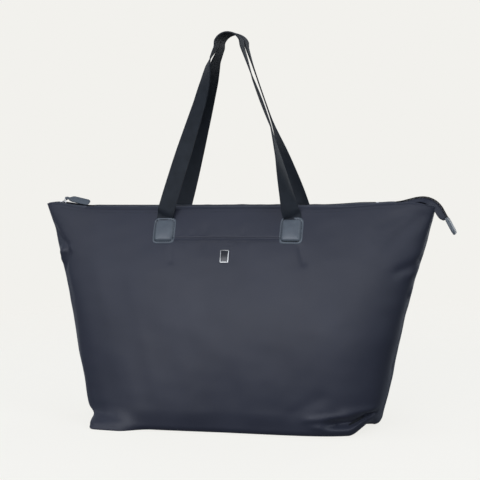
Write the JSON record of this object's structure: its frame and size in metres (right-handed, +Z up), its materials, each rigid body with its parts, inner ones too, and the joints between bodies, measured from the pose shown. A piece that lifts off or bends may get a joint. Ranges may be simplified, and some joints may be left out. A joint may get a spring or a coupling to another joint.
{
  "type": "foldable tote bag",
  "caption": "Soft nylon travel tote with a boxed base, recessed top zip with a free tail, webbing handles under leather patches and a stow pocket.",
  "frame": {"origin": "centre of the base panel, on the plane the bag stands on", "axes": "+Z up; +X along the bag's width, towards the free zip tail; front face, with pocket and badge, towards -Y"},
  "size_m": [0.6185, 0.18, 0.5749],
  "materials": {
    "nylon": "slate navy twill nylon, satin",
    "pouch_nylon": "light nylon, satin",
    "binding": "woven binding tape, matte",
    "webbing": "smooth woven webbing, satin",
    "leather": "fine pebbled leather, semi matte",
    "zip_tape": "woven zip tape, matte",
    "zip_coil": "nylon coil, satin",
    "zip_metal": "polished nickel",
    "badge_metal": "satin nickel"
  },
  "bodies": {
    "bag": {"front_panel": "nylon", "back_panel": "nylon", "base_panel": "nylon", "base_binding": "binding", "side_binding_left": "binding", "side_binding_right": "binding", "front_facing": "nylon", "back_facing": "nylon", "front_top_hem": "nylon", "back_top_hem": "nylon", "pocket_welt": "nylon", "pocket_pouch": "pouch_nylon", "badge_plate": "badge_metal", "badge_backing": "badge_metal", "patch_front_left": "leather", "patch_front_right": "leather", "patch_back_left": "leather", "patch_back_right": "leather", "front_handle_ends": "webbing", "back_handle_ends": "webbing", "zip_tape_left": "zip_tape", "zip_chain_left": "zip_coil", "zip_stop_left": "zip_metal", "zip_tape_right": "zip_tape", "zip_chain_right": "zip_coil", "zip_stop_right": "zip_metal", "zip_band_right": "nylon"},
    "front_zip_flap": {"front_zip_band": "nylon", "front_zip_tape": "zip_tape", "front_zip_chain": "zip_coil"},
    "back_zip_flap": {"back_zip_band": "nylon", "back_zip_tape": "zip_tape", "back_zip_chain": "zip_coil"},
    "zip_slider": {"slider_body": "zip_metal", "slider_bridge": "zip_metal"},
    "pull_ring": {"pull_ring": "zip_metal"},
    "puller": {"puller": "leather"},
    "zip_tail": {"tail_band": "nylon", "tail_chain": "zip_coil", "tail_tab": "leather"},
    "front_handle": {"front_handle": "webbing"},
    "back_handle": {"back_handle": "webbing"}
  },
  "joints": [
    {"name": "front_flap_fold", "type": "hinge", "parent": "bag", "child": "front_zip_flap", "pos_m": [0, -0.0194, 0.3192], "axis": [1, 0, 0], "range_deg": [0, 95]},
    {"name": "back_flap_fold", "type": "hinge", "parent": "bag", "child": "back_zip_flap", "pos_m": [0, 0.0194, 0.3192], "axis": [1, 0, 0], "range_deg": [-95, 0]},
    {"name": "slider_travel", "type": "slide", "parent": "bag", "child": "zip_slider", "axis": [1, 0, 0.0087], "range_m": [0, 0.457]},
    {"name": "ring_swing", "type": "hinge", "parent": "zip_slider", "child": "pull_ring", "pos_m": [-0.272, 0, 0.3247], "axis": [0, 1, 0], "range_deg": [-120, 0]},
    {"name": "puller_swing", "type": "hinge", "parent": "pull_ring", "child": "puller", "pos_m": [-0.26564, 0, 0.33106], "axis": [0, 1, 0], "range_deg": [-90, 0]},
    {"name": "tail_lift", "type": "hinge", "parent": "bag", "child": "zip_tail", "pos_m": [0.236, 0, 0.32323], "axis": [0, 1, 0], "range_deg": [-70, 0]},
    {"name": "front_handle_fold", "type": "hinge", "parent": "bag", "child": "front_handle", "pos_m": [0, -0.041, 0.3022], "axis": [1, 0, 0], "range_deg": [0, 150]},
    {"name": "back_handle_fold", "type": "hinge", "parent": "bag", "child": "back_handle", "pos_m": [0, 0.041, 0.3022], "axis": [1, 0, 0], "range_deg": [-150, 0]}
  ],
  "couplings": [
    {"joint": "back_flap_fold", "follows": "front_flap_fold", "ratio": -1}
  ]
}
